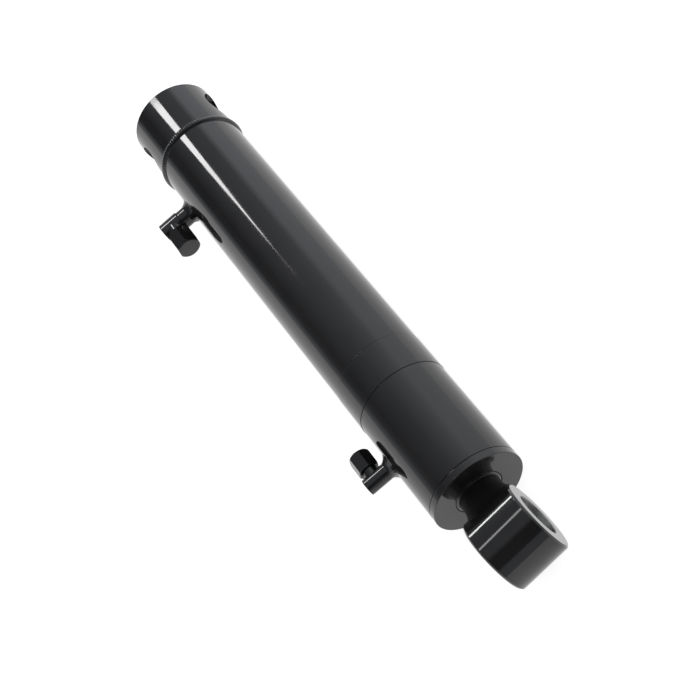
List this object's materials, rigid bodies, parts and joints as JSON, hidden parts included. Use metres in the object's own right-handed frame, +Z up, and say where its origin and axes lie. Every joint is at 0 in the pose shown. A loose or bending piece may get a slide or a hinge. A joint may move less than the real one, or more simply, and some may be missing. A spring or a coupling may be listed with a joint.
{
  "type": "hydraulic cylinder",
  "caption": "Welded double-acting hydraulic cylinder, drawn in, with a cross-bored base, a rod that slides and turns, a cross-tube rod eye and hex-capped side ports.",
  "frame": {"origin": "centre of the base pin bore, on the cylinder's axis", "axes": "+X along the rod towards its eye, +Y along the base pin and away from the ports, +Z up"},
  "size_m": [0.5597, 0.1093, 0.0806],
  "materials": {
    "barrel_tube": "gloss black enamel",
    "barrel_band": "gloss black enamel",
    "base_end": "gloss black enamel",
    "base_weld_bead": "gloss black enamel",
    "base_port_block": "gloss black enamel",
    "base_port_weld": "gloss black enamel",
    "base_port_adapter": "zinc plated",
    "base_port_cap": "gloss black enamel",
    "rod_port_block": "gloss black enamel",
    "rod_port_weld": "gloss black enamel",
    "rod_port_adapter": "zinc plated",
    "rod_port_cap": "gloss black enamel",
    "gland": "gloss black enamel",
    "gland_o_ring": "matte nitrile",
    "gland_backup_ring": "nylon",
    "rod_wear_ring": "bronze-filled PTFE",
    "rod_seal": "polyurethane",
    "rod_wiper": "matte nitrile",
    "piston_rod": "hard chrome, ground",
    "piston": "machined",
    "piston_nut": "machined",
    "piston_static_o_ring": "matte nitrile",
    "piston_seal": "polyurethane",
    "piston_seal_energizer": "matte nitrile",
    "piston_wear_ring_front": "bronze-filled PTFE",
    "piston_wear_ring_rear": "bronze-filled PTFE",
    "rod_eye": "gloss black enamel",
    "rod_eye_weld": "gloss black enamel"
  },
  "bodies": {
    "barrel": {"barrel_tube": "barrel_tube", "barrel_band": "barrel_band", "base_end": "base_end", "base_weld_bead": "base_weld_bead", "base_port_block": "base_port_block", "base_port_weld": "base_port_weld", "base_port_adapter": "base_port_adapter", "rod_port_block": "rod_port_block", "rod_port_weld": "rod_port_weld", "rod_port_adapter": "rod_port_adapter", "gland": "gland", "gland_o_ring": "gland_o_ring", "gland_backup_ring": "gland_backup_ring", "rod_wear_ring": "rod_wear_ring", "rod_seal": "rod_seal", "rod_wiper": "rod_wiper"},
    "piston_rings": {"piston_seal": "piston_seal", "piston_seal_energizer": "piston_seal_energizer", "piston_wear_ring_front": "piston_wear_ring_front", "piston_wear_ring_rear": "piston_wear_ring_rear"},
    "rod": {"piston_rod": "piston_rod", "piston": "piston", "piston_nut": "piston_nut", "piston_static_o_ring": "piston_static_o_ring", "rod_eye": "rod_eye", "rod_eye_weld": "rod_eye_weld"},
    "base_cap": {"base_port_cap": "base_port_cap"},
    "rod_cap": {"rod_port_cap": "rod_port_cap"}
  },
  "joints": [
    {"name": "rod_slide", "type": "slide", "parent": "barrel", "child": "piston_rings", "axis": [1, 0, 0], "range_m": [0, 0.2794]},
    {"name": "rod_swivel", "type": "hinge", "parent": "piston_rings", "child": "rod", "pos_m": [0.0876, 0, 0], "axis": [1, 0, 0], "continuous": true},
    {"name": "base_cap_off", "type": "slide", "parent": "barrel", "child": "base_cap", "axis": [1, 0, 0], "range_m": [0, 0.024]},
    {"name": "rod_cap_off", "type": "slide", "parent": "barrel", "child": "rod_cap", "axis": [-1, 0, 0], "range_m": [0, 0.02]}
  ]
}
